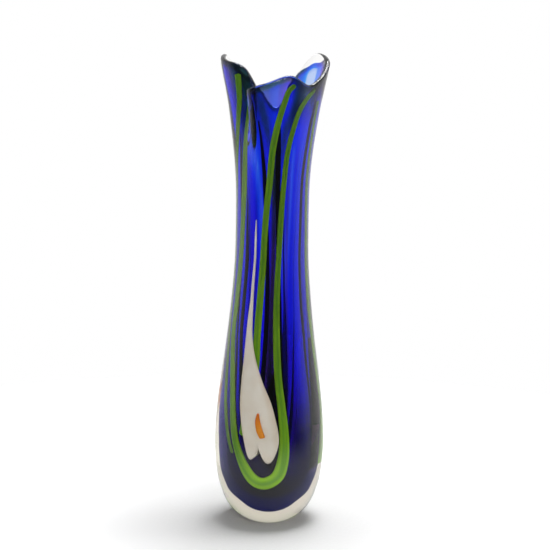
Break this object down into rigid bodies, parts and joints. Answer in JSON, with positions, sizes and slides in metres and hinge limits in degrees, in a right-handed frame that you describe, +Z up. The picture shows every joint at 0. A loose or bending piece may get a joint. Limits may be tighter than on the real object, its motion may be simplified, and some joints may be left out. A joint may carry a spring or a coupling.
{
  "type": "art glass vase",
  "caption": "Tall cased art glass vase with a pinched and pulled rim, cobalt lining, green trails and inlaid white lilies under clear glass.",
  "frame": {"origin": "centre of the flat base, on the surface that the vase stands on", "axes": "+Z up along the vase, -Y out of the front, where the main lily is, and +X to the right of it"},
  "size_m": [0.0822, 0.0823, 0.3536],
  "materials": {
    "clear_glass": "fire polished",
    "cobalt_glass": "fire polished",
    "green_glass": "fire polished",
    "white_glass": "fire polished",
    "orange_glass": "fire polished"
  },
  "bodies": {
    "root": {"clear_casing": "clear_glass", "cobalt_gather": "cobalt_glass", "front_loop_trail": "green_glass", "back_loop_trail": "green_glass", "front_stem_trail": "green_glass", "back_stem_trail": "green_glass", "left_trail": "green_glass", "front_spadix": "orange_glass", "back_spadix": "orange_glass", "front_spathe": "white_glass", "back_spathe": "white_glass"}
  },
  "joints": []
}
